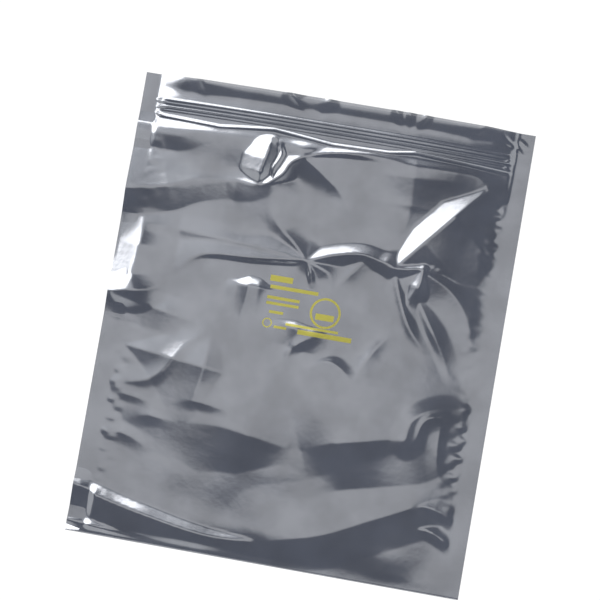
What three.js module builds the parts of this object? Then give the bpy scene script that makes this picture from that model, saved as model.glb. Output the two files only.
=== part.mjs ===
// An empty zip-top static shielding bag lying on its back, in millimetres.
// X runs across the bag, +Y towards its mouth and +Z up from the surface it lies on.
import * as THREE from 'three';
import { mergeVertices } from 'three/addons/utils/BufferGeometryUtils.js';

// The bag laid flat: one web of film, folded at the bottom and heat-sealed down both sides
const BAG_WIDTH = 278;
const BAG_LENGTH = 327.5;
const FILM_THICKNESS = 0.076;
const SIDE_SEAL_WIDTH = 11;

// How far the front panel stands off the back one
const EDGE_RISE = 1.6;
const EDGE_REACH = 12;
const DOME_RISE = 5.2;
const DOME_REACH = 90;
const MOUTH_GAPE = 8.8;
const MOUTH_PLATEAU_WIDTH = 80;
const MOUTH_FALL = 1.3;
const MOUTH_BLEND_LENGTH = 40;
const LIP_FLARE = 2;

// The press-to-close zip: two extruded strips welded inside the mouth
const ZIP_DROP = 23;
const ZIP_FLANGE_WIDTH = 12.5;
const ZIP_FLANGE_THICKNESS = 0.22;
const ZIP_END_SETBACK = 3;
const ZIP_END_HEIGHT = 1.4;
const ZIP_CRUSH_LENGTH = 40;
const ZIP_CRUSH_SHARE = 0.1;
const WELD_GAP = 0.1;
const STEM_WIDTH = 0.7;
const STEM_HEIGHT = 0.9;
const HEAD_WIDTH = 1.5;
const HEAD_HEIGHT = 0.8;
const JAW_CLEARANCE = 0.2;
const JAW_THICKNESS = 0.55;
const JAW_HOOK = 0.4;
const JAW_CAP = 0.35;
const GUIDE_RIB_OFFSET = 3.2;
const GUIDE_RIB_PITCH = 1.4;
const GUIDE_RIB_WIDTH = 0.5;
const GUIDE_RIB_HEIGHT = 0.22;

// Fineness of the faceted film
const COLUMN_COUNT = 44;
const BOTTOM_ROW_COUNT = 4;
const PANEL_ROW_COUNT = 45;
const LIP_ROW_COUNT = 4;
const BACK_STRIP_STATIONS = 16;
const BOTTOM_ROW_BAND = 14;
const CREASE_STEPS = 12;
const CREASE_SHARPNESS = 1.3;
const FOLD_CLEAR_OF_SEAL = 12;
const SEAL_RIPPLE_RISE = 0.6;
const SEAL_RIPPLE_PITCH = 19;
const SEAL_RIPPLE_REACH = 22;
const STEEP_SIDE = 8;
const OPEN_SIDE = 14;
const BROAD_SIDE = 30;

// Places that follow from those sizes
const HALF_WIDTH = BAG_WIDTH / 2;
const HALF_LENGTH = BAG_LENGTH / 2;
const SEAL_LINE = HALF_WIDTH - SIDE_SEAL_WIDTH;
const ZIP_END = SEAL_LINE - ZIP_END_SETBACK;
const ZIP_Y = HALF_LENGTH - ZIP_DROP;
const ZIP_BOTTOM = ZIP_Y - ZIP_FLANGE_WIDTH / 2;
const ZIP_TOP = ZIP_Y + ZIP_FLANGE_WIDTH / 2;
const SEALED_THICKNESS = 2 * FILM_THICKNESS;

const at = (across, along) => new THREE.Vector2(across * HALF_WIDTH, along * HALF_LENGTH);
const smooth = (value, low, high) => THREE.MathUtils.smoothstep(value, low, high);
const mix = THREE.MathUtils.lerp;

// The places where the film is pinched, from which folds run out
const ZIP_PINCH = at(-0.3, 0.83);
const CENTRE_PINCH = at(-0.03, 0.305);
const RIGHT_PINCH = at(0.41, 0.335);
const BOTTOM_PINCH = at(0.02, -0.895);

// A fold in the front panel: a crest along a smooth way, which falls away on its left and on its right
function fold(points, [startRise, endRise], left, right) {
  const route = new THREE.SplineCurve(points).getPoints(CREASE_STEPS);
  return { route, startRise, endRise, left, right };
}

// Where folds of one group meet, the highest of them is the film
const ZIP_FOLDS = [
  fold([ZIP_PINCH, at(-0.32, 0.72), at(-0.34, 0.6)], [3.6, 4.2], STEEP_SIDE, OPEN_SIDE),
  fold([at(-0.54, 0.59), at(-0.33, 0.59), at(-0.14, 0.74)], [0.6, 2.6], STEEP_SIDE, STEEP_SIDE),
  fold([at(-0.14, 0.74), at(0.1, 0.79), at(0.42, 0.83)], [2.6, 1.2], STEEP_SIDE, STEEP_SIDE),
  fold([at(-0.14, 0.74), at(0.06, 0.6), at(0.19, 0.4)], [2.4, 0.6], BROAD_SIDE, OPEN_SIDE),
];

const PINCH_FOLDS = [
  fold([CENTRE_PINCH, at(-0.4, 0.33), at(-0.92, 0.355)], [2.8, 0.8], BROAD_SIDE, OPEN_SIDE),
  fold([CENTRE_PINCH, at(-0.4, 0.265), at(-0.66, 0.18)], [2.8, 0.4], OPEN_SIDE, STEEP_SIDE),
  fold([CENTRE_PINCH, at(0.2, 0.37), at(0.37, 0.35)], [2.8, 1.2], STEEP_SIDE, STEEP_SIDE),
  fold([CENTRE_PINCH, at(-0.16, 0.4), at(-0.25, 0.49)], [2.4, 0.5], STEEP_SIDE, OPEN_SIDE),
  fold([RIGHT_PINCH, at(0.62, 0.54), at(0.8, 0.73)], [4, 3.4], OPEN_SIDE, BROAD_SIDE),
  fold([RIGHT_PINCH, at(0.55, 0.35), at(0.5, 0.2)], [3.4, 0.8], OPEN_SIDE, STEEP_SIDE),
  fold([at(0.56, 0.35), at(0.7, 0.37), at(0.88, 0.385)], [3, 0.8], OPEN_SIDE, OPEN_SIDE),
  fold([at(0.56, 0.34), at(0.76, 0.24), at(0.87, 0.04)], [3, 0.6], OPEN_SIDE, STEEP_SIDE),
  fold([RIGHT_PINCH, at(0.55, 0.13), at(0.76, -0.07)], [3.6, 0.6], BROAD_SIDE, STEEP_SIDE),
];

const LOOSE_FOLDS = [
  fold([at(-0.96, -0.775), at(-0.5, -0.88), BOTTOM_PINCH], [3.2, 1.4], STEEP_SIDE, BROAD_SIDE),
  fold([BOTTOM_PINCH, at(0.4, -0.78), at(0.69, -0.65)], [1.6, 2.2], BROAD_SIDE, BROAD_SIDE),
  fold([at(-0.5, -0.43), at(-0.2, -0.46), at(0.02, -0.49)], [1.2, 1.5], BROAD_SIDE, BROAD_SIDE),
  fold([at(0.13, -0.49), at(0.4, -0.4), at(0.58, -0.35)], [1.2, 2.2], BROAD_SIDE, BROAD_SIDE),
  fold([at(0.59, -0.38), at(0.68, -0.25), at(0.91, -0.2)], [1.4, 1.4], OPEN_SIDE, OPEN_SIDE),
  fold([at(-0.47, -0.07), at(-0.65, -0.26), at(-0.92, -0.35)], [1, 0.6], STEEP_SIDE, OPEN_SIDE),
  fold([at(0.09, 0), at(-0.03, -0.07), at(-0.04, -0.16)], [0.9, 0.8], STEEP_SIDE, STEEP_SIDE),
  fold([at(0.05, -0.16), at(0.18, -0.11), at(0.3, -0.18)], [0.8, 0.6], STEEP_SIDE, STEEP_SIDE),
  fold([at(-0.95, 0.05), at(-0.7, 0), at(-0.46, -0.07)], [1, 0.8], OPEN_SIDE, OPEN_SIDE),
  fold([at(-0.98, 0.48), at(-0.75, 0.53), at(-0.52, 0.59)], [1.6, 1.4], BROAD_SIDE, BROAD_SIDE),
];

const LIP_FOLDS = [
  fold([at(-0.11, 0.9), at(-0.17, 0.94), at(-0.24, 1)], [0.2, 2.2], STEEP_SIDE, STEEP_SIDE),
  fold([at(-0.11, 0.9), at(-0.09, 0.94), at(-0.04, 1)], [0.2, 1.8], STEEP_SIDE, STEEP_SIDE),
  fold([at(0.36, 0.9), at(0.32, 0.95), at(0.29, 1)], [0.2, 1.4], STEEP_SIDE, STEEP_SIDE),
  fold([at(0.36, 0.9), at(0.41, 0.95), at(0.45, 1)], [0.2, 1.4], STEEP_SIDE, STEEP_SIDE),
  fold([at(-0.65, 0.9), at(-0.68, 0.95), at(-0.7, 1)], [0.3, 1.4], STEEP_SIDE, BROAD_SIDE),
  fold([at(0.63, 0.9), at(0.69, 0.95), at(0.75, 1)], [0.3, 1.4], BROAD_SIDE, STEEP_SIDE),
];

// How much one fold lifts the film at a point
function foldRise({ route, startRise, endRise, left, right }, point) {
  let best = Infinity;
  let share = 0;
  let side = 0;
  for (let k = 0; k < route.length - 1; k += 1) {
    const step = route[k + 1].clone().sub(route[k]);
    const away = point.clone().sub(route[k]);
    const along = THREE.MathUtils.clamp(away.dot(step) / step.lengthSq(), 0, 1);
    away.addScaledVector(step, -along);
    const distance = away.length();
    if (distance < best) {
      best = distance;
      share = (k + along) / (route.length - 1);
      side = distance > 0 ? step.cross(away) / (step.length() * distance) : 0;
    }
  }
  const spread = mix(right, left, (1 + side) / 2);
  return mix(startRise, endRise, share) * Math.max(0, 1 - best / spread) ** CREASE_SHARPNESS;
}

const highestFold = (folds, point) => Math.max(...folds.map((one) => foldRise(one, point)));
const stackedFolds = (folds, point) => folds.reduce((sum, one) => sum + foldRise(one, point), 0);

// Height of the mouth across the bag, the same over the whole width of the zip
function mouthRise(x) {
  const reach = Math.abs(x);
  if (reach >= SEAL_LINE) return SEALED_THICKNESS;
  if (reach > ZIP_END) return mix(ZIP_END_HEIGHT, SEALED_THICKNESS, (reach - ZIP_END) / ZIP_END_SETBACK);
  const share = Math.max(0, reach - MOUTH_PLATEAU_WIDTH / 2) / (ZIP_END - MOUTH_PLATEAU_WIDTH / 2);
  return mix(MOUTH_GAPE, ZIP_END_HEIGHT, share ** MOUTH_FALL);
}

// Gathers along the side seals, where the puffed film is drawn in
function sealRipple(x, y) {
  const inFromSeal = SEAL_LINE - Math.abs(x);
  const crest = SEAL_RIPPLE_REACH / 4;
  const fade = smooth(inFromSeal, 0, crest) * (1 - smooth(inFromSeal, crest, SEAL_RIPPLE_REACH));
  const phase = (2 * Math.PI * (y + inFromSeal / 2)) / SEAL_RIPPLE_PITCH;
  return SEAL_RIPPLE_RISE * fade * Math.sin(phase);
}

// The slack pouch without its folds: steep at its edges and gently domed inside
function pillowRise(x, y) {
  const inFromSeal = SEAL_LINE - Math.abs(x);
  const upFromBottom = y + HALF_LENGTH;
  const edge = (1 - Math.exp(-inFromSeal / EDGE_REACH)) * (1 - Math.exp(-upFromBottom / EDGE_REACH));
  const dome = (1 - (x / SEAL_LINE) ** 2) * smooth(upFromBottom, 0, DOME_REACH);
  return SEALED_THICKNESS + EDGE_RISE * edge + DOME_RISE * dome;
}

// What the folds and gathers add to the pouch
function creaseRise(x, y) {
  const point = new THREE.Vector2(x, y);
  const inFromSeal = SEAL_LINE - Math.abs(x);
  const upFromBottom = y + HALF_LENGTH;
  const clear = smooth(inFromSeal, 0, FOLD_CLEAR_OF_SEAL) * smooth(upFromBottom, 0, FOLD_CLEAR_OF_SEAL);
  const pinched = highestFold(ZIP_FOLDS, point) + highestFold(PINCH_FOLDS, point);
  const gathers = sealRipple(x, y) * smooth(upFromBottom, 0, FOLD_CLEAR_OF_SEAL);
  return clear * (pinched + stackedFolds(LOOSE_FOLDS, point)) + gathers;
}

// Height of the lip above the zip, which flares towards its edge
function lipRise(x, y) {
  const share = (y - ZIP_TOP) / (HALF_LENGTH - ZIP_TOP);
  const middle = smooth(SEAL_LINE - Math.abs(x), 0, FOLD_CLEAR_OF_SEAL);
  const folds = highestFold(LIP_FOLDS, new THREE.Vector2(x, y));
  return mouthRise(x) + middle * smooth(share, 0, 1) * (LIP_FLARE + folds);
}

// Height of the front panel's outer face
function frontRise(x, y) {
  if (Math.abs(x) >= SEAL_LINE || y <= -HALF_LENGTH) return SEALED_THICKNESS;
  if (y > ZIP_TOP) return lipRise(x, y);
  if (y >= ZIP_BOTTOM) return mouthRise(x);
  const base = mix(pillowRise(x, y), mouthRise(x), smooth(y, ZIP_BOTTOM - MOUTH_BLEND_LENGTH, ZIP_BOTTOM));
  return base + creaseRise(x, y) * (1 - smooth(y, ZIP_BOTTOM - FOLD_CLEAR_OF_SEAL, ZIP_BOTTOM));
}

// Evenly spaced values from low to high, both ends included
function spaced(low, high, count) {
  return Array.from({ length: count + 1 }, (_, k) => mix(low, high, k / count));
}

const COLUMNS = [-HALF_WIDTH, -SEAL_LINE, ...spaced(-ZIP_END, ZIP_END, COLUMN_COUNT), SEAL_LINE, HALF_WIDTH];
const ROWS = [
  ...spaced(-HALF_LENGTH, BOTTOM_ROW_BAND - HALF_LENGTH, BOTTOM_ROW_COUNT),
  ...spaced(BOTTOM_ROW_BAND - HALF_LENGTH, ZIP_BOTTOM, PANEL_ROW_COUNT).slice(1),
  ...spaced(ZIP_TOP, HALF_LENGTH, LIP_ROW_COUNT),
];

// Collects triangles and quads, and turns them into one closed geometry
class Facets {
  constructor() {
    this.corners = [];
  }

  triangle(a, b, c) {
    for (const corner of [a, b, c]) this.corners.push(corner.x, corner.y, corner.z);
  }

  // A quad split along the diagonal that bends less, so that its edges follow the folds
  quad(a, b, c, d) {
    if (Math.abs(a.z - c.z) <= Math.abs(b.z - d.z)) {
      this.triangle(a, b, c);
      this.triangle(a, c, d);
    } else {
      this.triangle(a, b, d);
      this.triangle(b, c, d);
    }
  }

  // Quads between two lines of as many points
  strip(near, far) {
    for (let k = 0; k < near.length - 1; k += 1) this.quad(near[k], near[k + 1], far[k + 1], far[k]);
  }

  geometry() {
    const loose = new THREE.BufferGeometry();
    loose.setAttribute('position', new THREE.Float32BufferAttribute(this.corners, 3));
    const merged = mergeVertices(loose);
    merged.computeVertexNormals();
    return merged;
  }
}

// The rim of a rows-by-columns sheet as four lines, anticlockwise from above
function rim(sheet) {
  const last = sheet.length - 1;
  const end = sheet[0].length - 1;
  return [sheet[0], sheet.map((row) => row[end]), [...sheet[last]].reverse(), sheet.map((row) => row[0]).reverse()];
}

// A flat face that meets a rim point by point and is plain in its middle
function flatFace(facets, sides, facesUp) {
  const face = (a, b, c) => (facesUp ? facets.triangle(a, b, c) : facets.triangle(a, c, b));
  const core = sides.map((side) => side[0].clone().multiply(new THREE.Vector3(0.5, 0.5, 1)));
  sides.forEach((side, k) => {
    const near = core[k];
    const far = core[(k + 1) % core.length];
    const middle = Math.floor(side.length / 2);
    for (let m = 0; m < side.length - 1; m += 1) face(side[m], side[m + 1], m < middle ? near : far);
    face(near, side[middle], far);
  });
  face(core[0], core[1], core[2]);
  face(core[0], core[2], core[3]);
}

// The pouch: outer skin, inner skin, and the rims that join them at the mouth
function filmGeometry() {
  const facets = new Facets();
  const outside = ROWS.map((y) => COLUMNS.map((x) => new THREE.Vector3(x, y, frontRise(x, y))));
  const inside = outside.map((row, j) => row.slice(1, -1).map((corner) => innerCorner(corner, j === 0)));
  const bottomRim = rim(outside).map((side) => side.map((corner) => new THREE.Vector3(corner.x, corner.y, 0)));
  const floorRim = rim(inside).map((side) => side.map(({ x, y }) => new THREE.Vector3(x, y, FILM_THICKNESS)));
  for (let j = 0; j < ROWS.length - 1; j += 1) {
    facets.strip(outside[j], outside[j + 1]);
    facets.strip(inside[j + 1], inside[j]);
  }
  flatFace(facets, bottomRim, false);
  flatFace(facets, floorRim, true);
  rim(outside).forEach((side, k) => {
    if (k !== 2) facets.strip(bottomRim[k], side);
  });
  mouthEdge(facets, outside.at(-1), inside.at(-1));
  return facets.geometry();
}

// A point of the inner skin: one film thickness under the outer one, and closed at seals and fold
function innerCorner(corner, atBottom) {
  const closed = atBottom || Math.abs(corner.x) >= SEAL_LINE;
  const y = atBottom ? corner.y + FILM_THICKNESS : corner.y;
  return new THREE.Vector3(corner.x, y, closed ? FILM_THICKNESS : corner.z - FILM_THICKNESS);
}

// The cut edges of both panels at the open mouth, and of the two seals beside it
function mouthEdge(facets, topOutside, topInside) {
  const onFloor = ({ x, y }) => new THREE.Vector3(x, y, 0);
  const onBackPanel = ({ x, y }) => new THREE.Vector3(x, y, FILM_THICKNESS);
  const topMiddle = topOutside.slice(1, -1);
  facets.strip(topMiddle, topInside);
  facets.strip(topInside.map(onBackPanel), topMiddle.map(onFloor));
  const leftSeal = [topOutside[0], topOutside[1]];
  const rightSeal = topOutside.slice(-2);
  sealEnd(facets, leftSeal, topInside[0], onFloor, true);
  sealEnd(facets, rightSeal, topInside.at(-1), onFloor, false);
}

// The end of one seal: a thin rectangle with one more point where the inner skin starts
function sealEnd(facets, [left, right], seam, onFloor, seamOnRight) {
  const outline = seamOnRight
    ? [left, onFloor(left), onFloor(right), seam, right]
    : [left, seam, onFloor(left), onFloor(right), right];
  const start = seamOnRight ? 0 : 4;
  for (let k = 1; k < outline.length - 1; k += 1) {
    const a = outline[start];
    const b = outline[(start + k) % outline.length];
    const c = outline[(start + k + 1) % outline.length];
    facets.triangle(a, c, b);
  }
}

// Half-profile of the ribbed flange from its outer edge to the root of the rib, thickness down
function flangeHalf(rootWidth, crush) {
  const points = [new THREE.Vector2(-ZIP_FLANGE_WIDTH / 2, 0)];
  points.push(new THREE.Vector2(-ZIP_FLANGE_WIDTH / 2, ZIP_FLANGE_THICKNESS));
  for (const offset of [GUIDE_RIB_OFFSET + GUIDE_RIB_PITCH, GUIDE_RIB_OFFSET]) {
    points.push(new THREE.Vector2(-offset - GUIDE_RIB_WIDTH / 2, ZIP_FLANGE_THICKNESS));
    points.push(new THREE.Vector2(-offset, ZIP_FLANGE_THICKNESS + GUIDE_RIB_HEIGHT * crush));
    points.push(new THREE.Vector2(-offset + GUIDE_RIB_WIDTH / 2, ZIP_FLANGE_THICKNESS));
  }
  points.push(new THREE.Vector2(-rootWidth / 2, ZIP_FLANGE_THICKNESS));
  return points;
}

const mirrored = (points) => points.map(({ x, y }) => new THREE.Vector2(-x, y)).reverse();

// The rib strip: an arrow head on a stem, on its flange
function ribProfile(crush) {
  const stemTop = ZIP_FLANGE_THICKNESS + STEM_HEIGHT * crush;
  const tip = stemTop + HEAD_HEIGHT * crush;
  const half = [
    ...flangeHalf(STEM_WIDTH, crush),
    new THREE.Vector2(-STEM_WIDTH / 2, stemTop),
    new THREE.Vector2(-HEAD_WIDTH / 2, stemTop),
  ];
  return [...half, new THREE.Vector2(0, tip), ...mirrored(half)];
}

// The groove strip: two hooked jaws that the arrow head snaps between
function grooveProfile(crush) {
  const innerHalf = HEAD_WIDTH / 2 + JAW_CLEARANCE;
  const outerHalf = innerHalf + JAW_THICKNESS;
  const hookFoot = ZIP_FLANGE_THICKNESS + (HEAD_HEIGHT + JAW_CLEARANCE) * crush;
  const jawTop = hookFoot + JAW_CAP * crush;
  const half = [
    ...flangeHalf(2 * outerHalf, crush),
    new THREE.Vector2(-outerHalf, jawTop),
    new THREE.Vector2(-innerHalf + JAW_HOOK, jawTop),
    new THREE.Vector2(-innerHalf + JAW_HOOK, hookFoot),
    new THREE.Vector2(-innerHalf, hookFoot),
    new THREE.Vector2(-innerHalf, ZIP_FLANGE_THICKNESS),
  ];
  return [...half, ...mirrored(half)];
}

// How much of the profile's height is left where the strip runs into a side seal
function crushAt(x) {
  return mix(1, ZIP_CRUSH_SHARE, smooth(Math.abs(x), ZIP_END - ZIP_CRUSH_LENGTH, ZIP_END));
}

// A zip strip: its profile carried from one side seal to the other
function stripGeometry(stations, profile, place) {
  const facets = new Facets();
  const sections = stations.map((x) => profile(crushAt(x)).map((point) => place(x, point)));
  for (let k = 0; k < sections.length - 1; k += 1) {
    const near = [...sections[k], sections[k][0]];
    const far = [...sections[k + 1], sections[k + 1][0]];
    facets.strip(far, near);
  }
  endCap(facets, sections[0], profile(crushAt(stations[0])), true);
  endCap(facets, sections.at(-1), profile(crushAt(stations.at(-1))), false);
  return facets.geometry();
}

// The cut end of a strip
function endCap(facets, section, outline, atStart) {
  for (const [a, b, c] of THREE.ShapeUtils.triangulateShape(outline, [])) {
    if (atStart) facets.triangle(section[a], section[c], section[b]);
    else facets.triangle(section[a], section[b], section[c]);
  }
}

const filmMaterial = new THREE.MeshStandardMaterial({
  name: 'metallised_film',
  color: 0x8f959e,
  metalness: 0.75,
  roughness: 0.22,
  transparent: true,
  opacity: 0.85,
});

const zipMaterial = (name) =>
  new THREE.MeshStandardMaterial({
    name,
    color: 0xdfe3e6,
    metalness: 0,
    roughness: 0.3,
    transparent: true,
    opacity: 0.6,
  });

function shieldingFilm() {
  const film = new THREE.Mesh(filmGeometry(), filmMaterial);
  film.name = 'shielding_film';
  return film;
}

// The rib strip hangs from the front panel and follows its curve across the mouth
function zipRibStrip() {
  const stations = COLUMNS.slice(2, -2);
  const seat = (x) => mouthRise(x) - FILM_THICKNESS - WELD_GAP;
  const place = (x, { x: across, y: depth }) => new THREE.Vector3(x, ZIP_Y - across, seat(x) - depth);
  const strip = new THREE.Mesh(stripGeometry(stations, ribProfile, place), zipMaterial('clear_rib_strip'));
  strip.name = 'zip_rib_strip';
  return strip;
}

// The groove strip lies on the back panel, straight under the other
function zipGrooveStrip() {
  const stations = spaced(-ZIP_END, ZIP_END, BACK_STRIP_STATIONS);
  const seat = FILM_THICKNESS + WELD_GAP;
  const place = (x, { x: across, y: depth }) => new THREE.Vector3(x, ZIP_Y + across, seat + depth);
  const strip = new THREE.Mesh(stripGeometry(stations, grooveProfile, place), zipMaterial('clear_groove_strip'));
  strip.name = 'zip_groove_strip';
  return strip;
}

const bag = new THREE.Group();
bag.name = 'static_shielding_bag';
bag.add(shieldingFilm(), zipRibStrip(), zipGrooveStrip());

export default bag;
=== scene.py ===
import math

import bpy
import numpy as np
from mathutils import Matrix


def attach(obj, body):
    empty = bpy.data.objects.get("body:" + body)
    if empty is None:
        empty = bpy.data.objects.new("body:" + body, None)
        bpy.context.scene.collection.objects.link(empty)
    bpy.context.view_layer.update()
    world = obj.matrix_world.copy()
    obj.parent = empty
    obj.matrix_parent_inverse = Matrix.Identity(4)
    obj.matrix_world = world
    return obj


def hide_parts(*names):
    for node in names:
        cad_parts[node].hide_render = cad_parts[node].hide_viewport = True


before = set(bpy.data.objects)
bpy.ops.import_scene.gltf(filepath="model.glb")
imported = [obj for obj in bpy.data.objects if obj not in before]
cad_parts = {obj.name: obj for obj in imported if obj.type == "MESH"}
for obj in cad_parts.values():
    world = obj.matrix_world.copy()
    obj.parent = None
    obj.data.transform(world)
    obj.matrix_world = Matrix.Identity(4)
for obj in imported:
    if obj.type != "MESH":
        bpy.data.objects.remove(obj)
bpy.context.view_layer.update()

# All lengths below are in millimetres, and MM turns them into metres where Blender takes them.
MM = 0.001

BAG_WIDTH = 278.0
BAG_LENGTH = 327.5
FILM_THICKNESS = 0.076
SIDE_SEAL_WIDTH = 11.0
ZIP_DROP = 23.0
ZIP_FLANGE_WIDTH = 12.5
HALF_WIDTH = BAG_WIDTH / 2
HALF_LENGTH = BAG_LENGTH / 2
SEAL_LINE = HALF_WIDTH - SIDE_SEAL_WIDTH
SEALED_THICKNESS = 2 * FILM_THICKNESS
ZIP_TOP = HALF_LENGTH - ZIP_DROP + ZIP_FLANGE_WIDTH / 2
ZIP_BOTTOM = ZIP_TOP - ZIP_FLANGE_WIDTH

# The mouth: how far it gapes, over which width, and how it closes towards the side seals
MOUTH_GAPE = 8.8
MOUTH_PLATEAU_HALF = 40.0
MOUTH_FALL = 1.6
MOUTH_BLEND_LENGTH = 40.0
ZIP_END = SEAL_LINE - 3.0
ZIP_END_HEIGHT = 1.4
LIP_FLARE = 2.8

# The slack pouch: rising from its seals and gently domed inside
EDGE_RISE = 1.2
EDGE_REACH = 44.0
BOTTOM_REACH = 24.0
DOME_RISE = 4.6
DOME_REACH = 130.0

# The grid of the film's web: closer rows over the zip, and few on the back panel
COLUMN_COUNT = 240
ROW_PITCH = 1.25
ZIP_ROW_PITCH = 0.42
ZIP_MARGIN = 3.0
LIP_ROW_COUNT = 14
BACK_ROW_COUNT = 36


def smooth(value, low, high):
    """0 below low, 1 above high, and an even S between them."""
    share = np.clip((value - low) / (high - low), 0, 1)
    return share * share * (3 - 2 * share)


# Camera

CAMERA_LENS = 100
SENSOR_WIDTH = 36
CAMERA_PLACE = (0.0569, -0.0269, 1.1657)
CAMERA_TURN = (2.909, 2.544, 9.859)


def make_camera():
    """The photograph's view, almost straight down on the bag."""
    data = bpy.data.cameras.new("camera")
    data.lens = CAMERA_LENS
    data.sensor_width = SENSOR_WIDTH
    camera = bpy.data.objects.new("camera", data)
    camera.location = CAMERA_PLACE
    camera.rotation_euler = [math.radians(angle) for angle in CAMERA_TURN]
    bpy.context.collection.objects.link(camera)
    bpy.context.scene.camera = camera


# Node graphs

# Where a mix node keeps its two colours and its colour result
MIX_COLOURS = (6, 7)
MIX_RESULT = 2


class Graph:
    """Adds nodes to a tree and joins them: every value is a number, a tuple or another node's socket."""

    def __init__(self, tree):
        self.tree = tree
        tree.nodes.clear()

    def add(self, kind, **settings):
        """A new node with its settings."""
        node = self.tree.nodes.new(kind)
        for name, value in settings.items():
            setattr(node, name, value)
        return node

    def put(self, socket, value):
        """Links a socket to another one, or sets its value."""
        if isinstance(value, bpy.types.NodeSocket):
            self.tree.links.new(value, socket)
        else:
            socket.default_value = value

    def math(self, operation, *values):
        """One sum, product or the like of its values."""
        node = self.add("ShaderNodeMath", operation=operation)
        for socket, value in zip(node.inputs, values):
            self.put(socket, value)
        return node.outputs[0]

    def times(self, first, second):
        """The product of two values."""
        return self.math("MULTIPLY", first, second)

    def length(self, x, y):
        """How far a place with these two coordinates is from nothing."""
        return self.math("SQRT", self.math("ADD", self.times(x, x), self.times(y, y)))

    def largest(self, values):
        """The largest of several values."""
        result = values[0]
        for value in values[1:]:
            result = self.math("MAXIMUM", result, value)
        return result

    def step(self, value, low, high):
        """0 below low and 1 above high, or the other way round where low is the larger."""
        node = self.add("ShaderNodeMapRange", interpolation_type="SMOOTHSTEP")
        node.clamp = True
        self.put(node.inputs["Value"], value)
        turned = low > high
        self.put(node.inputs["From Min"], min(low, high))
        self.put(node.inputs["From Max"], max(low, high))
        self.put(node.inputs["To Min"], 1.0 if turned else 0.0)
        self.put(node.inputs["To Max"], 0.0 if turned else 1.0)
        return node.outputs["Result"]

    def within(self, value, outer, inner):
        """1 from minus inner to inner, and 0 beyond outer on either side."""
        return self.times(self.step(value, -outer, -inner), self.step(value, outer, inner))

    def mix(self, factor, first, second):
        """A colour between two."""
        node = self.add("ShaderNodeMix", data_type="RGBA")
        self.put(node.inputs["Factor"], factor)
        for place, value in zip(MIX_COLOURS, (first, second)):
            self.put(node.inputs[place], value if isinstance(value, bpy.types.NodeSocket) else (*value, 1))
        return node.outputs[MIX_RESULT]

    def noise(self, where, scale, detail=2.0):
        """A cloudy pattern from 0 to 1."""
        node = self.add("ShaderNodeTexNoise")
        self.put(node.inputs["Vector"], where)
        self.put(node.inputs["Scale"], scale)
        self.put(node.inputs["Detail"], detail)
        return node.outputs["Fac"]

    def bump(self, height, distance, normal=None):
        """The surface's direction with a slight relief, on top of another relief where one is given."""
        node = self.add("ShaderNodeBump")
        self.put(node.inputs["Height"], height)
        self.put(node.inputs["Distance"], distance)
        self.put(node.inputs["Strength"], 1.0)
        if normal is not None:
            self.put(node.inputs["Normal"], normal)
        return node.outputs["Normal"]

    def seen_directly(self):
        """1 for a ray from the camera, a mirror or a clear piece, and 0 for light on a matt surface."""
        path = self.add("ShaderNodeLightPath")
        kinds = ("Is Camera Ray", "Is Glossy Ray", "Is Transmission Ray")
        return self.largest([path.outputs[kind] for kind in kinds])

    def close(self, shader):
        """Makes a shader node the material's surface."""
        output = self.add("ShaderNodeOutputMaterial")
        self.put(output.inputs["Surface"], shader.outputs[0])


def new_material(name):
    """A material and its empty graph."""
    material = bpy.data.materials.new(name)
    material.use_nodes = True
    return material, Graph(material.node_tree)


# Studio: pale walls, a soft grey ceiling that the flat film mirrors, a dark ring round it and a window.
# Its places lie on a disc seen from above, with its rim at the horizon: 1 is the disc's radius.

DIAGONAL = 0.7071
CEILING_GREY = (0.92, 0.93, 0.96)
CEILING_CENTRE = (-0.06, 0.03)
CEILING_REACH = (0.32, 0.21)
CEILING_FADE = (0.8, 1.3)
# The ceiling grows lighter towards the window: how fast, and from which share of its grey to which
CEILING_SLOPE = 0.35
CEILING_SHADES = (0.65, 1.35)
RING_DARK = (0.13, 0.155, 0.22)
WALL_PALE = (0.95, 0.97, 1.0)
WALL_FADE = (0.62, 0.78)
# The wall round the window: where it starts towards the window, and its outer and inner edge sideways
WALL_LIGHT = (1.35, 1.38, 1.43)
LIGHT_WALL_START = (0.22, 0.38)
LIGHT_WALL_SIDE = (0.6, 0.4)
LIGHT_WALL_SHARE = 0.75
WINDOW_WHITE = (4.5, 4.5, 4.5)
WINDOW_START = (0.46, 0.50)
WINDOW_END = (0.90, 0.85)
WINDOW_SIDE = (0.60, 0.56)
BACKDROP_WHITE = (1.0, 1.0, 1.0)
HORIZON_FADE = -0.02


def make_world():
    world = bpy.data.worlds.new("studio")
    world.use_nodes = True
    bpy.context.scene.world = world
    graph = Graph(world.node_tree)
    split = graph.add("ShaderNodeSeparateXYZ")
    graph.put(split.inputs[0], graph.add("ShaderNodeTexCoord").outputs["Generated"])
    x, y, z = split.outputs
    # A mirror that looks below the horizon sees the pale floor
    light = graph.mix(graph.step(z, 0.0, HORIZON_FADE), studio_light(graph, x, y), BACKDROP_WHITE)
    path = graph.add("ShaderNodeLightPath")
    background = graph.add("ShaderNodeBackground")
    graph.put(background.inputs["Color"], graph.mix(path.outputs["Is Camera Ray"], light, BACKDROP_WHITE))
    output = graph.add("ShaderNodeOutputWorld")
    graph.put(output.inputs["Surface"], background.outputs[0])


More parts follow.
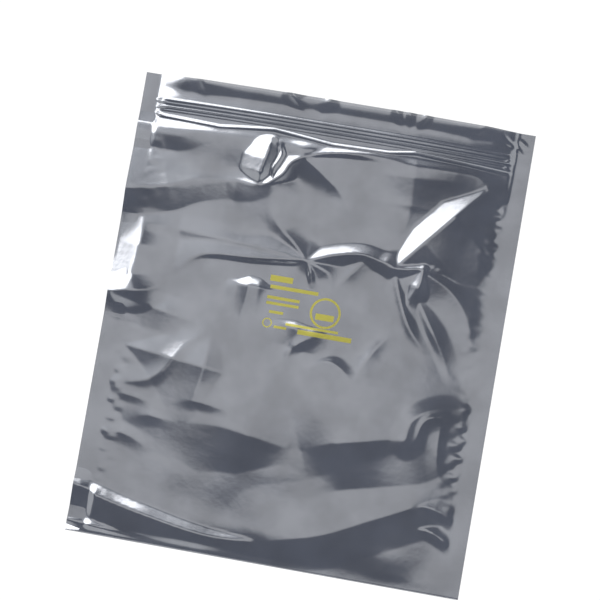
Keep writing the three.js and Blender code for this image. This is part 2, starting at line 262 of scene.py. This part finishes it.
def studio_light(graph, x, y):
    """The light that comes from each direction."""
    off_x, off_y = [
        graph.times(graph.math("SUBTRACT", value, centre), 1 / reach)
        for value, centre, reach in zip((x, y), CEILING_CENTRE, CEILING_REACH)
    ]
    oval = graph.length(off_x, off_y)
    towards = graph.times(graph.math("SUBTRACT", y, x), DIAGONAL)
    sideways = graph.times(graph.math("ADD", x, y), DIAGONAL)

    slope = graph.math("MULTIPLY_ADD", towards, CEILING_SLOPE, 0.5)
    dimmest, brightest = [[c * shade for c in CEILING_GREY] for shade in CEILING_SHADES]
    light = graph.mix(graph.step(oval, *CEILING_FADE), graph.mix(slope, dimmest, brightest), RING_DARK)
    light = graph.mix(graph.step(graph.length(x, y), *WALL_FADE), light, WALL_PALE)
    beside = graph.times(graph.step(towards, *LIGHT_WALL_START), graph.within(sideways, *LIGHT_WALL_SIDE))
    light = graph.mix(graph.times(beside, LIGHT_WALL_SHARE), light, WALL_LIGHT)
    depth = graph.times(graph.step(towards, *WINDOW_START), graph.step(towards, *WINDOW_END))
    return graph.mix(graph.times(depth, graph.within(sideways, *WINDOW_SIDE)), light, WINDOW_WHITE)


# Floor

FLOOR_SIDE = 6000.0
FLOOR_GLOW = 0.88
FLOOR_SHADOWED = 0.15
FLOOR_PALE = 0.8


def matt(graph, grey):
    """A matt shader of one grey."""
    shader = graph.add("ShaderNodeBsdfDiffuse")
    graph.put(shader.inputs["Color"], (grey, grey, grey, 1))
    return shader


def floor_material():
    """White where it is seen, with a faint part that takes the shadow, and plain pale grey for other light."""
    material, graph = new_material("floor")
    glow = graph.add("ShaderNodeEmission")
    graph.put(glow.inputs["Strength"], FLOOR_GLOW)
    seen = graph.add("ShaderNodeAddShader")
    graph.put(seen.inputs[0], glow.outputs[0])
    graph.put(seen.inputs[1], matt(graph, FLOOR_SHADOWED).outputs[0])
    both = graph.add("ShaderNodeMixShader")
    graph.put(both.inputs[0], graph.seen_directly())
    graph.put(both.inputs[1], matt(graph, FLOOR_PALE).outputs[0])
    graph.put(both.inputs[2], seen.outputs[0])
    graph.close(both)
    return material


def make_floor():
    """A pale floor that shows as white and keeps the bag's shadow."""
    half = FLOOR_SIDE / 2 * MM
    mesh = bpy.data.meshes.new("floor")
    corners = [(-half, -half, 0), (half, -half, 0), (half, half, 0), (-half, half, 0)]
    mesh.from_pydata(corners, [], [(0, 1, 2, 3)])
    mesh.materials.append(floor_material())
    floor = bpy.data.objects.new("floor", mesh)
    bpy.context.collection.objects.link(floor)


# Folds of the front panel

FOLD_BLEND = 1.2
ROUTE_STEPS = 9
TINY = 1e-6


def route(points, count=ROUTE_STEPS):
    """A smooth way through two, three or four points."""
    points = np.array(points, float)
    if len(points) == 2:
        return points
    ends = np.vstack([2 * points[0] - points[1], points, 2 * points[-1] - points[-2]])
    way = []
    for k in range(1, len(ends) - 2):
        a, b, c, d = ends[k - 1:k + 3]
        t = np.linspace(0, 1, count, endpoint=False)[:, None]
        bend = (2 * a - 5 * b + 4 * c - d) * t ** 2 + (3 * b - a - 3 * c + d) * t ** 3
        way.append(0.5 * (2 * b + (c - a) * t + bend))
    return np.vstack([*way, points[-1:]])


def along_way(share, values):
    """One value, or several spaced evenly from the start of a way to its end, at each share of the way."""
    values = np.atleast_1d(values)
    return np.interp(share, np.linspace(0, 1, len(values)), values)


def fold(x, y, points, rise, left, right, sharp=1.5):
    """A crest along the points, with its rise from start to end and its spread left and right of its way."""
    way = route(points)
    reach = np.max(np.concatenate([np.atleast_1d(left), np.atleast_1d(right)]))
    low, high = way.min(axis=0) - reach, way.max(axis=0) + reach
    near = (x > low[0]) & (x < high[0]) & (y > low[1]) & (y < high[1])
    place = np.stack([x[near], y[near]], -1)[:, None]
    along = np.diff(way, axis=0)
    lengths = np.linalg.norm(along, axis=1)
    away = place - way[:-1]
    t = np.clip((away * along).sum(-1) / lengths ** 2, 0, 1)
    away = away - t[..., None] * along
    distance = np.linalg.norm(away, axis=-1)
    nearest = distance.min(axis=1)
    # Pieces of the way that are almost as near count too, so that no step shows where they meet
    weight = np.exp((nearest[:, None] - distance) / FOLD_BLEND)
    weight = weight / weight.sum(axis=1, keepdims=True)
    run = np.concatenate([[0], np.cumsum(lengths)]) / lengths.sum()
    share = (weight * (run[:-1] + t * np.diff(run))).sum(axis=1)
    turn = (along[:, 0] * away[..., 1] - along[:, 1] * away[..., 0]) / (lengths * np.maximum(distance, TINY))
    side = np.take_along_axis(turn, distance.argmin(axis=1)[:, None], axis=1)[:, 0]
    spread = along_way(share, left) * (0.5 + 0.5 * side) + along_way(share, right) * (0.5 - 0.5 * side)
    height = np.zeros(x.shape)
    height[near] = along_way(share, rise) * np.clip(1 - nearest / spread, 0, 1) ** sharp
    return height


def crests(x, y, folds):
    """The highest of the folds at each point."""
    return np.max([fold(x, y, *one) for one in folds], axis=0)


def mound(x, y, centre, reach, turn, rise):
    """A smooth oval swelling, or a dent where rise is below nothing."""
    c, s = math.cos(math.radians(turn)), math.sin(math.radians(turn))
    u = ((x - centre[0]) * c + (y - centre[1]) * s) / reach[0]
    v = ((y - centre[1]) * c - (x - centre[0]) * s) / reach[1]
    return rise * np.clip(1 - u * u - v * v, 0, 1) ** 2


ZIP_PINCH = (-42, 136)
CENTRE_PINCH = (-4, 50)
RIGHT_PINCH = (57, 55)
BOTTOM_PINCH = (3, -147)

# Each fold: its points, its rise from start to end, its spread to the left and to the right, how sharp it is.
# A spread is one value for the whole way, or several from its start to its end.
ZIP_STAR = [
    ([ZIP_PINCH, (-43, 122), (-46, 105), (-46, 94)],
     (0.4, 3.4, 5.0, 5.2, 1.4), (2, 9, 12, 10, 3), (2, 13, 17, 16, 4), 1.0),
    ([(-37, 128), (-34, 120), (-38, 110), (-38, 104)], (0.8, 3.4, 4.2, 3.8), 5, 3, 1.2),
    ([(-84, 92), (-64, 97), (-50, 97), (-40, 99)], (0.2, 1.4, 3.8), 9, 36, 1.2),
    ([(-40, 99), (-31, 107), (-26, 116), (-17, 122)], (4.2, 2.8), 9, 10, 1.2),
    ([(-17, 122), (2, 127), (25, 131), (58, 136)], (2.6, 1.6, 0.4), 11, 7),
    ([(-19, 121), (-4, 112), (12, 100), (22, 84)], (2.6, 2.0, 0.2), 34, 16),
]
CENTRE_STAR = [
    ([CENTRE_PINCH, (-40, 54), (-90, 57), (-120, 58)], (1.9, 0.8, 0.3), 6, 12, 1.2),
    ([CENTRE_PINCH, (-40, 46), (-76, 43), (-92, 31)], (1.9, 1.4, 0.3), 4, 16, 1.2),
    ([CENTRE_PINCH, (14, 57), (33, 61), (50, 58)], (1.9, 2.4, 1.8), 8, 9, 1.2),
    ([CENTRE_PINCH, (-14, 60), (-26, 70), (-34, 80)], (1.9, 1.3, 0.1), 9, 12),
    ([CENTRE_PINCH, (0, 42), (2, 34)], (1.9, 1.8, 0.3), 5, 3, 1.2),
    ([CENTRE_PINCH, (12, 44), (17, 33)], (1.9, 1.4, 0.3), 12, 12),
    ([(17, 33), (26, 44), (38, 60)], (0.2, 1.0, 0.8), 8, 10),
]
RIGHT_STAR = [
    ([RIGHT_PINCH, (76, 78), (95, 100), (111, 119)],
     (1.4, 5.0, 5.4, 0.6), (4, 13, 14, 2), (8, 48, 50, 12), 1.0),
    ([RIGHT_PINCH, (67, 56), (77, 58)], (2.2, 3.4), 14, 10),
    ([(77, 58), (76, 46), (70, 32)], (3.6, 3.4, 0.5), 14, (10, 10, 2), 1.1),
    ([(77, 57), (97, 60), (122, 62)], (3.0, 1.6, 0.2), 12, 16),
    ([(80, 57), (92, 68), (101, 74), (116, 79)], (2.8, 1.8, 0.2), 12, 18),
    ([(78, 56), (98, 46), (112, 30), (121, 6)], (3.0, 1.6, 0.2), 22, 26),
    ([(74, 40), (86, 22), (98, 4), (106, -10)], (0.8, 1.4, 0.2), 16, 6),
    ([RIGHT_PINCH, (64, 36), (74, 16), (88, 0)], (0.8, 1.3, 1.2, 0.1), 8, 7),
]
BOTTOM_STAR = [
    ([(-140, -131), (-92, -142), (-40, -150), BOTTOM_PINCH], (3.0, 3.0, 2.6, 0.6), (6.5, 6.5, 5.5, 2), 26, 1.0),
    ([BOTTOM_PINCH, (36, -137), (70, -120), (96, -107)], (1.4, 2.0, 2.4), 40, 24, 1.2),
    ([(96, -107), (108, -105), (128, -111)], (2.2, 1.8, 0.6), 18, 9),
    ([(98, -121), (112, -121), (128, -129)], (0.4, 1.6, 0.6), 8, 7),
    ([BOTTOM_PINCH, (-6, -138), (-14, -128)], (1.2, 0.8, 0.1), 7, 6),
    ([(-140, -156), (-100, -160), (-50, -162)], (2.6, 2.6, 1.8, 0.3), (5.5, 5.5, 4, 1), 4, 1.0),
]
LOOSE_FOLDS = [
    ([(-84, -76), (-45, -74), (-10, -79), (7, -81)], (0.3, 1.5, 2.6, 0.1), 60, (24, 34, 28, 10), 1.1),
    ([(15, -81), (36, -72), (60, -66), (84, -60)], (0.1, 3.4, 3.6, 2.4), 60, 33, 1.0),
    ([(84, -62), (87, -47), (104, -36), (127, -33)], (1.2, 1.2, 0.4), 10, 15, 1.2),
    ([(92, -60), (96, -46), (108, -41), (122, -41)], (0.2, 0.9, 0.2), 4, 6),
    ([(108, -42), (108, -64), (112, -82), (120, -90)], (0.4, 0.6, 0.1), 6, 9),
    ([(-66, -12), (-78, -22), (-96, -48), (-128, -57)], (0.2, 0.9, 0.6), 8, 12),
    ([(-60, -8), (-62, -34), (-66, -62)], (0.3, 3.0, 0.5), (5, 15, 6), (12, 60, 20), 1.0),
    ([(12, 0), (0, -8), (-6, -16), (-5, -26)], (0.1, 1.0, 0.1), 7, 6),
    ([(7, -26), (20, -17), (30, -19), (42, -29)], (0.1, 1.0, 0.2), 7, 10),
    ([(42, -29), (48, -12), (58, 4), (66, 10)], (0.2, 1.0, 0.1), 7, 10),
    ([(60, 140), (60, 120), (61, 102), (60, 80)], (0.4, 2.6, 2.2, 0.2), 44, 60, 1.3),
    ([(62, 135), (84, 133), (100, 130), (114, 120)], (0.2, 1.0, 0.6), 14, 20),
    ([(-78, -62), (-60, -60), (-38, -62)], (0.1, 0.8, 0.1), 14, 7),
    ([(-128, -64), (-112, -63), (-94, -66)], (0.4, 0.6, 0.1), 8, 6),
    ([(-106, -78), (-94, -75), (-80, -76)], (0.1, 0.6, 0.1), 10, 8),
    ([(-130, -92), (-112, -90), (-94, -96)], (0.4, 0.7, 0.1), 8, 9),
    ([(-49, 27), (-38, 27), (-26, 26)], (0.7, 2.2, 2.0, 0.4), (2.5, 6.5, 6, 2), (12, 30, 24, 8), 1.2),
    ([(-14, 3), (-6, 3), (4, 1), (20, -1)], (0.8, 1.7, 1.5, 0.2), 4.5, 14, 1.0),
]
SWELLS = [
    ((20, 95), (46, 30), -20, 0.8),
    ((20, 10), (40, 26), 20, 0.5),
    ((60, -20), (30, 30), 0, 0.5),
]
# Folds that reach into the side seals and lift both panels there
EDGE_FOLDS = [
    ([(-123, 68), (-122, 44), (-124, 16)], (0.6, 4.0, 4.0), 26, 16, 1.0),
    ([(-150, 78), (-112, 86), (-92, 93), (-70, 97)], (4.4, 4.2, 1.4), 72, (20, 19, 14), 1.0),
    ([(-150, 112), (-118, 111), (-100, 113), (-84, 121)], (-1.4, -1.6, -0.1), 11, 26, 1.1),
    ([(-144, 6), (-118, 10), (-98, 17)], (1.6, 2.2, 0.1), 12, 12, 1.1),
    ([(-134, 5), (-110, 1), (-80, -4), (-60, -12)], (1.2, 1.4, 0.1), 12, 16, 1.1),
    ([(-150, -128), (-130, -132), (-119, -135)], (2.6, 2.6, 0.2), 6, 16, 1.0),
    ([(-150, -155), (-130, -157), (-120, -158)], (1.8, 1.8, 0.2), 5, 4.5, 1.0),
]
LIP_FOLDS = [
    ([(-15, 147), (-24, 154), (-34, 164)], (0.2, 2.2), 8, 8),
    ([(-15, 147), (-12, 154), (-6, 164)], (0.2, 1.8), 8, 8),
    ([(50, 147), (45, 155), (40, 164)], (0.2, 1.4), 5, 5),
    ([(50, 147), (50, 155), (50, 164)], (0.2, 1.4), 5, 5),
    ([(50, 147), (57, 155), (62, 164)], (0.2, 1.4), 5, 5),
    ([(-90, 147), (-94, 156), (-98, 164)], (0.3, 1.4), 8, 30),
    ([(88, 147), (96, 156), (104, 164)], (0.3, 1.4), 30, 10),
]
# Ridges along the zip: how far below its top, how high and how wide
ZIP_LINES = [(0.4, 0.30, 0.8), (3.0, 0.14, 0.4), (5.4, 0.30, 0.5), (8.0, 0.18, 0.4)]
ZIP_TILT = 1.2
# The strongest ridge runs below the zip and sags between the pinches: x and y of its bends
ZIP_EDGE = [(-128, 135), (-80, 133), (-42, 137), (0, 133), (40, 134), (58, 137), (128, 134)]
ZIP_EDGE_RISE = 0.6
ZIP_EDGE_WIDTH = 1.1
# Small dents at the crushed ends of the zip and in the top corner: centre, reach, turn and rise
DENTS = [
    ((-125, 145), (5, 1.8), -12, 0.7), ((-124, 141), (5, 1.6), 6, 0.6), ((-125, 136), (4, 1.4), -14, 0.6),
    ((124, 143), (4, 1.5), 10, 0.5), ((123, 138), (3, 1.5), -10, 0.5),
    ((121, 156), (9, 2.2), -38, 0.7), ((127, 153), (8, 1.8), -40, 0.6), ((131, 157), (6, 1.6), -36, 0.5),
]
# Where the film is gathered at the side seals: side, middle along the seal, reach and rise
GATHERS = [(1, 98, 30, 0.22), (1, -66, 34, 0.22), (-1, 100, 24, 0.10), (-1, -80, 50, 0.16), (1, 10, 60, 0.07)]
# The puckers there: length of a wave, how it slants inward, and its share of the rise
GATHER_WAVES = [(11.5, 0.45, 1.0), (7.1, -0.3, 0.5)]
GATHER_START = 4
GATHER_END = (5, 18)
# Waves of the slack film: length, heading in degrees, phase and rise
SLACK_WAVES = [
    (61, 24, 0.3, 0.10), (47, 101, 1.9, 0.08),
    (33, 155, 4.0, 0.05), (88, 62, 2.2, 0.16), (27, 75, 5.1, 0.03),
]
# How far from a seal, the bottom or the zip each kind of fold fades out
STAR_FADE = 14
LOOSE_FADE = 7
LIP_FADE = 20
BOTTOM_FADE = 10
BOTTOM_STAR_FADE = 8
BOTTOM_STAR_SIDE_FADE = 6
CREASE_TOP_FADE = 7
EDGE_TOP_FADE = 8
ZIP_SIDE_FADE = 6
# The zip's band tilts between these, measured from its bottom and its top, and falls back above it
ZIP_TILT_START = 3
ZIP_TILT_STOP = 1
ZIP_TILT_FALL = 9
# The back panel: its clearance to the floor, and two crossed waves as what x and y are divided by and the phase
BACK_CLEARANCE = 0.06
BACK_WAVE = 0.12
BACK_WAVES = [(31, 53, 0), (-71, 37, 1)]
BACK_FADE = 30
BACK_ZIP_GAP = 6
BACK_LIFT_FADE = 12


def mouth_rise(x):
    """Height of the open mouth across the bag."""
    reach = np.abs(x)
    share = np.clip((reach - MOUTH_PLATEAU_HALF) / (ZIP_END - MOUTH_PLATEAU_HALF), 0, 1)
    gape = MOUTH_GAPE + (ZIP_END_HEIGHT - MOUTH_GAPE) * share ** MOUTH_FALL
    closing = np.clip((reach - ZIP_END) / (SEAL_LINE - ZIP_END), 0, 1)
    return gape + (SEALED_THICKNESS - gape) * closing


def pillow_rise(x, y):
    """The slack pouch without its folds."""
    upward = y + HALF_LENGTH
    sides = smooth(SEAL_LINE - np.abs(x), 0, EDGE_REACH)
    bottom = smooth(upward, 0, BOTTOM_REACH)
    dome = np.clip(1 - (x / SEAL_LINE) ** 2, 0, None) ** 2 * smooth(upward, 0, DOME_REACH)
    return SEALED_THICKNESS + EDGE_RISE * sides * bottom + DOME_RISE * dome


def seal_gathers(x, y):
    """Short puckers where the puffed film runs into a side seal."""
    inward = SEAL_LINE - np.abs(x)
    fade = smooth(inward, 0, GATHER_START) * (1 - smooth(inward, *GATHER_END))
    waves = sum(
        share * np.sin(2 * np.pi * (y + slant * inward) / length) for length, slant, share in GATHER_WAVES
    )
    rise = np.zeros(x.shape)
    for side, middle, reach, height in GATHERS:
        rise = rise + np.where(x * side > 0, height, 0) * np.exp(-((y - middle) / reach) ** 2)
    return rise * fade * waves


def slack_rise(x, y):
    """The broad, slight waviness of limp film."""
    total = np.zeros(x.shape)
    for length, heading, phase, rise in SLACK_WAVES:
        across = x * math.cos(math.radians(heading)) + y * math.sin(math.radians(heading))
        total = total + rise * np.sin(2 * np.pi * across / length + phase)
    return total


def ridge(away, rise, width):
    """A narrow round ridge."""
    return rise * np.exp(-(away / width) ** 2)


def zip_lines(x, y):
    """Fine ridges where the film is welded over the zip strip, on a band that tilts towards the bottom."""
    tilt = smooth(y, ZIP_BOTTOM + ZIP_TILT_START, ZIP_TOP - ZIP_TILT_STOP)
    total = ZIP_TILT * tilt * (1 - smooth(y, ZIP_TOP, ZIP_TOP + ZIP_TILT_FALL))
    for drop, rise, width in ZIP_LINES:
        total = total + ridge(y - (ZIP_TOP - drop), rise, width)
    edge_x, edge_y = zip(*ZIP_EDGE)
    total = total + ridge(y - np.interp(x, edge_x, edge_y), ZIP_EDGE_RISE, ZIP_EDGE_WIDTH)
    return total * smooth(SEAL_LINE - np.abs(x), 0, ZIP_SIDE_FADE)


def edge_lift(x, y):
    """How far the folds at the side seals lift both panels."""
    return sum(fold(x, y, *one) for one in EDGE_FOLDS) * (1 - smooth(y, ZIP_BOTTOM - EDGE_TOP_FADE, ZIP_BOTTOM))


def creases(x, y):
    """The folds, swellings and waves of the slack front panel between its seals."""
    inward = SEAL_LINE - np.abs(x)
    upward = y + HALF_LENGTH
    low = smooth(upward, 0, BOTTOM_FADE)
    inside = smooth(inward, 0, STAR_FADE) * low
    stars = sum(crests(x, y, star) for star in (ZIP_STAR, CENTRE_STAR, RIGHT_STAR))
    swells = sum(mound(x, y, *one) for one in SWELLS)
    loose = smooth(inward, 0, LOOSE_FADE) * low * sum(fold(x, y, *one) for one in LOOSE_FOLDS)
    by_bottom = smooth(upward, 0, BOTTOM_STAR_FADE) * smooth(inward, 0, BOTTOM_STAR_SIDE_FADE)
    slack = (seal_gathers(x, y) + inside * slack_rise(x, y)) * low
    return inside * (stars + swells) + by_bottom * crests(x, y, BOTTOM_STAR) + loose + slack


def front_rise(x, y):
    """Height of the front panel."""
    inward = SEAL_LINE - np.abs(x)
    near = smooth(y, ZIP_BOTTOM - MOUTH_BLEND_LENGTH, ZIP_BOTTOM)
    base = (1 - near) * pillow_rise(x, y) + near * mouth_rise(x)
    creased = (1 - smooth(y, ZIP_BOTTOM - CREASE_TOP_FADE, ZIP_BOTTOM)) * creases(x, y)
    flare = LIP_FLARE + crests(x, y, LIP_FOLDS)
    lip = smooth(y, ZIP_TOP, HALF_LENGTH) * smooth(inward, 0, LIP_FADE) * flare
    rise = np.where(inward <= 0, SEALED_THICKNESS, base + creased + lip + zip_lines(x, y))
    dents = sum(mound(x, y, *one) for one in DENTS)
    return np.maximum(rise + edge_lift(x, y), SEALED_THICKNESS) + dents


def back_rise(x, y):
    """Height of the back panel, which lies on the floor and lifts a little in waves."""
    inward = SEAL_LINE - np.abs(x)
    first, second = [np.sin(x / across + y / along + phase) for across, along, phase in BACK_WAVES]
    inside = smooth(inward, 0, BACK_FADE) * smooth(HALF_LENGTH + y, 0, BACK_FADE)
    inside = inside * smooth(ZIP_BOTTOM - y, BACK_ZIP_GAP, BACK_ZIP_GAP + BACK_FADE)
    lifted = np.maximum(edge_lift(x, y), 0) * (1 - smooth(inward, 0, BACK_LIFT_FADE))
    return BACK_CLEARANCE + BACK_WAVE * inside * (1 + first * second) + lifted


# Film

def web_grid():
    """The unfolded web as a grid: x and y of each point in the bag, its height and its place along the web."""
    columns = np.linspace(-HALF_WIDTH, HALF_WIDTH, COLUMN_COUNT + 1)
    below = np.arange(-HALF_LENGTH, ZIP_BOTTOM - ZIP_MARGIN, ROW_PITCH)
    zip_rows = np.arange(ZIP_BOTTOM - ZIP_MARGIN, ZIP_TOP + ZIP_MARGIN, ZIP_ROW_PITCH)
    lip_rows = np.linspace(ZIP_TOP + ZIP_MARGIN, HALF_LENGTH, LIP_ROW_COUNT)
    front_rows = np.concatenate([below, zip_rows, lip_rows])
    back_rows = np.linspace(HALF_LENGTH, -HALF_LENGTH, BACK_ROW_COUNT + 1)
    x, front_y = np.meshgrid(columns, front_rows)
    back_x, back_y = np.meshgrid(columns, back_rows)
    z = front_rise(x, front_y)
    back_z = back_rise(back_x, back_y)
    along = np.concatenate([HALF_LENGTH - back_rows, BAG_LENGTH + HALF_LENGTH + front_rows])
    points = np.concatenate([np.stack([back_x, back_y, back_z], -1), np.stack([x, front_y, z], -1)])
    return points, columns + HALF_WIDTH, along


def make_film():
    points, across, along = web_grid()
    row_count, column_count = points.shape[:2]
    corner = np.arange(row_count * column_count).reshape(row_count, column_count)
    faces = np.stack([corner[:-1, :-1], corner[:-1, 1:], corner[1:, 1:], corner[1:, :-1]], -1).reshape(-1, 4)
    mesh = bpy.data.meshes.new("shielding_film_sheet")
    mesh.from_pydata((points.reshape(-1, 3) * MM).tolist(), [], faces.tolist())
    u, v = np.meshgrid(across / BAG_WIDTH, along / (2 * BAG_LENGTH))
    corners = faces.reshape(-1)
    web = mesh.uv_layers.new(name="web")
    web.data.foreach_set("uv", np.stack([u.reshape(-1)[corners], v.reshape(-1)[corners]], -1).reshape(-1))
    mesh.polygons.foreach_set("use_smooth", np.ones(len(faces), bool))
    mesh.materials.append(film_material())
    film = bpy.data.objects.new("shielding_film_sheet", mesh)
    bpy.context.collection.objects.link(film)
    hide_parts("shielding_film")
    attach(film, "root")


# Film material: a metallised grey in two shades, and opaque yellow ink
FILM_GREY = (0.31, 0.318, 0.34)
FILM_SHADES = (0.9, 1.12)
FILM_METAL = 0.92
FILM_ROUGHNESS = 0.14
FILM_ALPHA = 0.88
PRINT_YELLOW = (0.42, 0.38, 0.05)
PRINT_METAL = 0.22
PRINT_ROUGHNESS = 0.34
# Patterns on the film as scale per millimetre, detail and depth in metres
CLOUD_SCALE = 0.03
CLOUD_DETAIL = 4.0
CLOUD_STEP = (0.3, 0.7)
PEEL_SCALE = 0.16
PEEL_DEPTH = 0.00005
GRAIN_SCALE = 1.1
GRAIN_DEPTH = 0.000006

# Print: bars across the bag as left, right, middle height and thickness
PRINT_BARS = [
    (-27, -11, 34.5, 4.2), (-26, 8, 28.5, 2.6), (-27, -4, 21, 2.2), (-27, -4, 17, 2.0), (-24, -14, 11, 2.0),
    (-19, -10, 1, 1.8), (-11, 26, 4, 1.8), (-2, 36, 0.2, 3.4), (8.5, 21.5, 13, 4.4),
]
# Rings as centre, radius and width
PRINT_RINGS = [((15, 16), 10, 1.6), ((-24, 3), 3, 0.9)]
PRINT_SOFT = 0.4


def print_mask(graph, x, y):
    """1 on the printed bars and rings, from places in the bag in millimetres."""
    parts = []
    for left, right, middle, thickness in PRINT_BARS:
        reach_x, reach_y = (right - left) / 2, thickness / 2
        off_x, off_y = graph.math("SUBTRACT", x, (left + right) / 2), graph.math("SUBTRACT", y, middle)
        wide = graph.within(off_x, reach_x + PRINT_SOFT, reach_x - PRINT_SOFT)
        high = graph.within(off_y, reach_y + PRINT_SOFT, reach_y - PRINT_SOFT)
        parts.append(graph.times(wide, high))
    for centre, radius, width in PRINT_RINGS:
        off_x, off_y = [graph.math("SUBTRACT", value, middle) for value, middle in zip((x, y), centre)]
        off_ring = graph.math("SUBTRACT", graph.length(off_x, off_y), radius)
        parts.append(graph.within(off_ring, width / 2 + PRINT_SOFT, width / 2 - PRINT_SOFT))
    return graph.largest(parts)


def film_material():
    """Metallised film: it mirrors most light, lets a little through and carries the print."""
    material, graph = new_material("metallised_film")
    split = graph.add("ShaderNodeSeparateXYZ")
    graph.put(split.inputs[0], graph.add("ShaderNodeUVMap", uv_map="web").outputs[0])
    x = graph.math("MULTIPLY_ADD", split.outputs[0], BAG_WIDTH, -HALF_WIDTH)
    y = graph.math("MULTIPLY_ADD", split.outputs[1], 2 * BAG_LENGTH, -BAG_LENGTH - HALF_LENGTH)
    place = graph.add("ShaderNodeCombineXYZ")
    graph.put(place.inputs[0], x)
    graph.put(place.inputs[1], y)
    where = place.outputs[0]
    printed = print_mask(graph, x, y)
    darker, lighter = [[c * shade for c in FILM_GREY] for shade in FILM_SHADES]
    grey = graph.mix(graph.step(graph.noise(where, CLOUD_SCALE, CLOUD_DETAIL), *CLOUD_STEP), darker, lighter)
    surface = graph.add("ShaderNodeBsdfPrincipled")
    graph.put(surface.inputs["Base Color"], graph.mix(printed, grey, PRINT_YELLOW))
    metal = graph.math("MULTIPLY_ADD", printed, PRINT_METAL - FILM_METAL, FILM_METAL)
    graph.put(surface.inputs["Metallic"], metal)
    roughness = graph.math("MULTIPLY_ADD", printed, PRINT_ROUGHNESS - FILM_ROUGHNESS, FILM_ROUGHNESS)
    graph.put(surface.inputs["Roughness"], roughness)
    graph.put(surface.inputs["Alpha"], FILM_ALPHA)
    peel = graph.bump(graph.noise(where, PEEL_SCALE), PEEL_DEPTH)
    graph.put(surface.inputs["Normal"], graph.bump(graph.noise(where, GRAIN_SCALE), GRAIN_DEPTH, peel))
    graph.close(surface)
    return material


# Zip strips

STRIP_SHADES = [(0.80, 0.82, 0.84), (0.93, 0.94, 0.95)]
STRIP_ROUGHNESS = 0.15
STRIP_ROUGHNESS_SPAN = 0.2
STRIP_ALPHA = 0.6
# Drawn lines: how close the pattern lies along the strip and across it, and its depth in metres
STRIP_LINES = (12, 900, 900)
STRIP_LINE_DEPTH = 0.00005


def strip_material():
    """Clear, slightly milky polyethylene with drawn lines along the strip."""
    material, graph = new_material("zip_plastic")
    stretch = graph.add("ShaderNodeMapping")
    graph.put(stretch.inputs["Vector"], graph.add("ShaderNodeTexCoord").outputs["Object"])
    graph.put(stretch.inputs["Scale"], STRIP_LINES)
    lines = graph.noise(stretch.outputs[0], 1.0)
    surface = graph.add("ShaderNodeBsdfPrincipled")
    graph.put(surface.inputs["Base Color"], graph.mix(lines, *STRIP_SHADES))
    roughness = graph.math("MULTIPLY_ADD", lines, STRIP_ROUGHNESS_SPAN, STRIP_ROUGHNESS)
    graph.put(surface.inputs["Roughness"], roughness)
    graph.put(surface.inputs["Alpha"], STRIP_ALPHA)
    graph.put(surface.inputs["Normal"], graph.bump(lines, STRIP_LINE_DEPTH))
    graph.close(surface)
    return material


def dress_strips():
    """Gives both zip strips of the frame their plastic."""
    plastic = strip_material()
    for name in ("zip_rib_strip", "zip_groove_strip"):
        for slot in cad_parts[name].material_slots:
            slot.material = plastic


make_camera()
make_world()
make_floor()
make_film()
dress_strips()
bpy.context.scene.view_settings.view_transform = "Standard"
